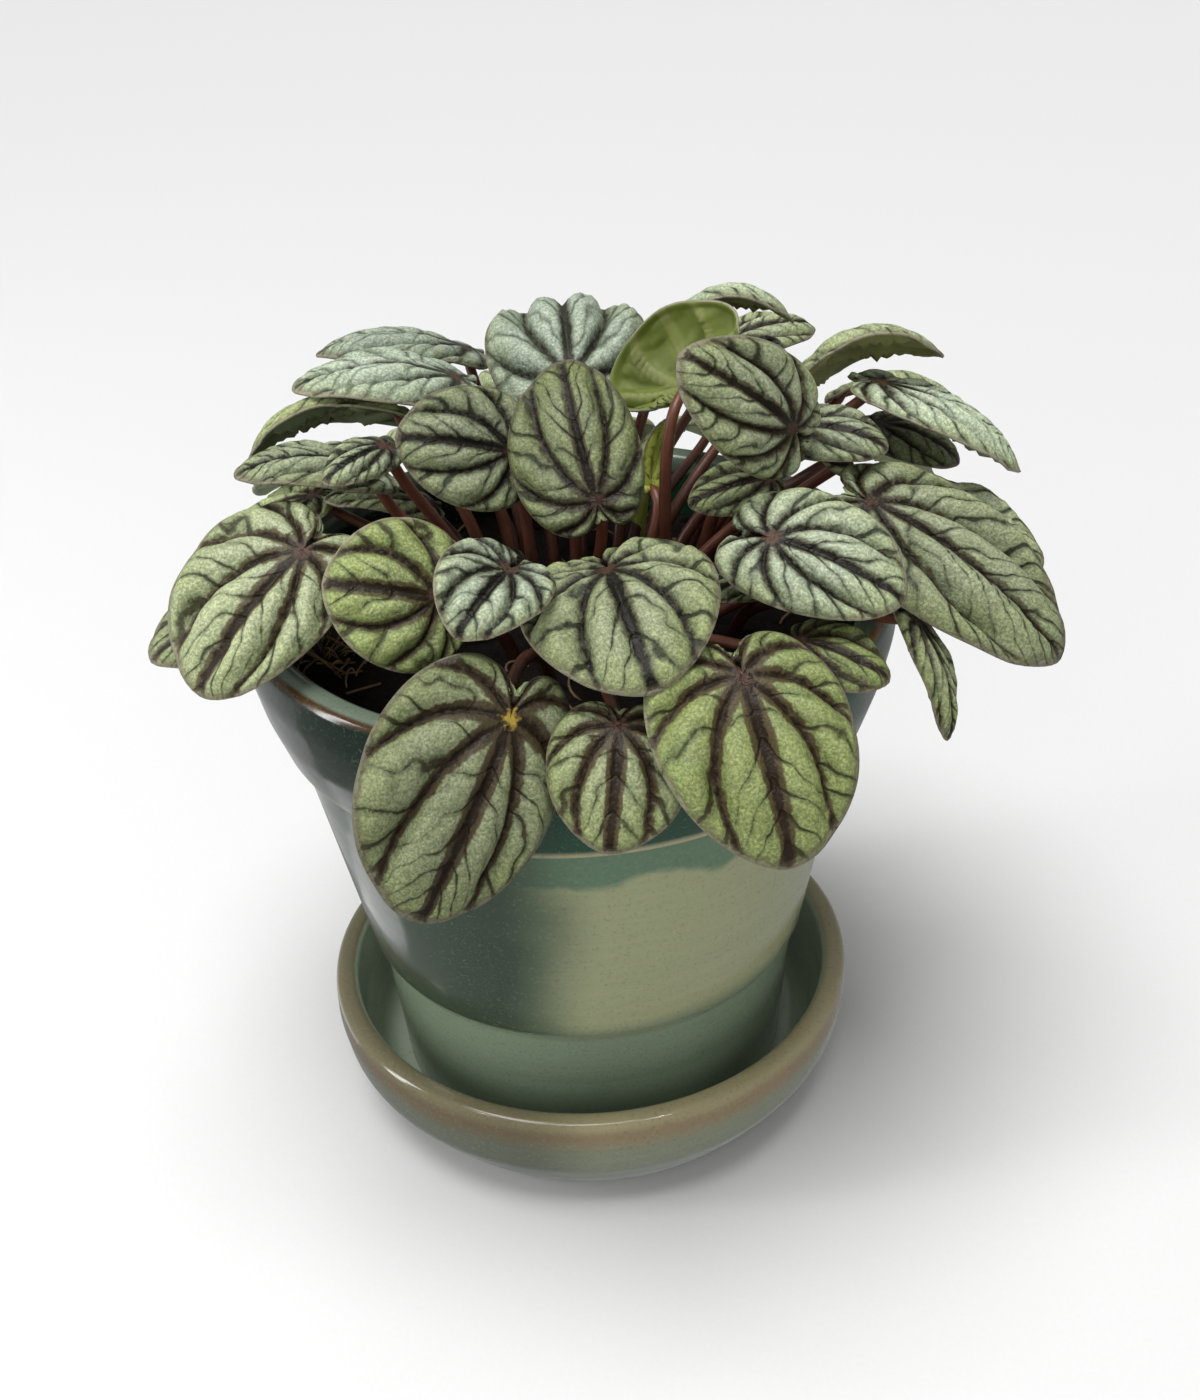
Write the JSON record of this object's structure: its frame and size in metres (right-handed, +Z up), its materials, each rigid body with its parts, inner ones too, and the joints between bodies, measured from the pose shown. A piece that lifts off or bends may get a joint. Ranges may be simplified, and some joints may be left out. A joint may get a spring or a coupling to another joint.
{
  "type": "potted peperomia plant",
  "caption": "Small houseplant with rippled heart-shaped leaves on reddish stalks, in a glazed, collared pot that stands on its own deep saucer.",
  "frame": {"origin": "centre of the saucer's flat underside, on the axis of the saucer and the pot", "axes": "+Z up along the pot's axis, -Y towards the front, +X to the right as seen from the front"},
  "size_m": [0.1742, 0.1682, 0.1789],
  "materials": {
    "pot_glaze": "gloss",
    "saucer_glaze": "gloss",
    "potting_mix": "matte",
    "crown_bark": "matte",
    "leaf": "satin"
  },
  "bodies": {
    "root": {"crown": "crown_bark", "leaf_back_left": "leaf", "leaf_back_mid_left": "leaf", "leaf_back_mid_right": "leaf", "leaf_back_middle": "leaf", "leaf_back_right": "leaf", "leaf_back_side": "leaf", "leaf_back_upper": "leaf", "leaf_front_centre": "leaf", "leaf_front_folded": "leaf", "leaf_front_left": "leaf", "leaf_front_middle": "leaf", "leaf_front_right": "leaf", "leaf_front_round": "leaf", "leaf_left_back": "leaf", "leaf_left_level": "leaf", "leaf_left_long": "leaf", "leaf_left_low": "leaf", "leaf_left_outer": "leaf", "leaf_left_small": "leaf", "leaf_left_turned": "leaf", "leaf_left_under": "leaf", "leaf_left_upper": "leaf", "leaf_mid_bud": "leaf", "leaf_mid_inner": "leaf", "leaf_mid_upright": "leaf", "leaf_mid_young": "leaf", "leaf_right_behind": "leaf", "leaf_right_brown": "leaf", "leaf_right_cupped": "leaf", "leaf_right_edge": "leaf", "leaf_right_front": "leaf", "leaf_right_hanging": "leaf", "leaf_right_inner": "leaf", "leaf_right_large": "leaf", "leaf_right_rim": "leaf", "leaf_right_shade": "leaf", "leaf_right_small": "leaf", "leaf_right_turned": "leaf", "leaf_right_upper": "leaf", "leaf_top_behind": "leaf", "leaf_top_centre": "leaf", "leaf_top_crest": "leaf", "leaf_top_far": "leaf", "leaf_top_turned": "leaf", "pot": "pot_glaze", "potting_mix": "potting_mix", "saucer": "saucer_glaze"}
  },
  "joints": []
}
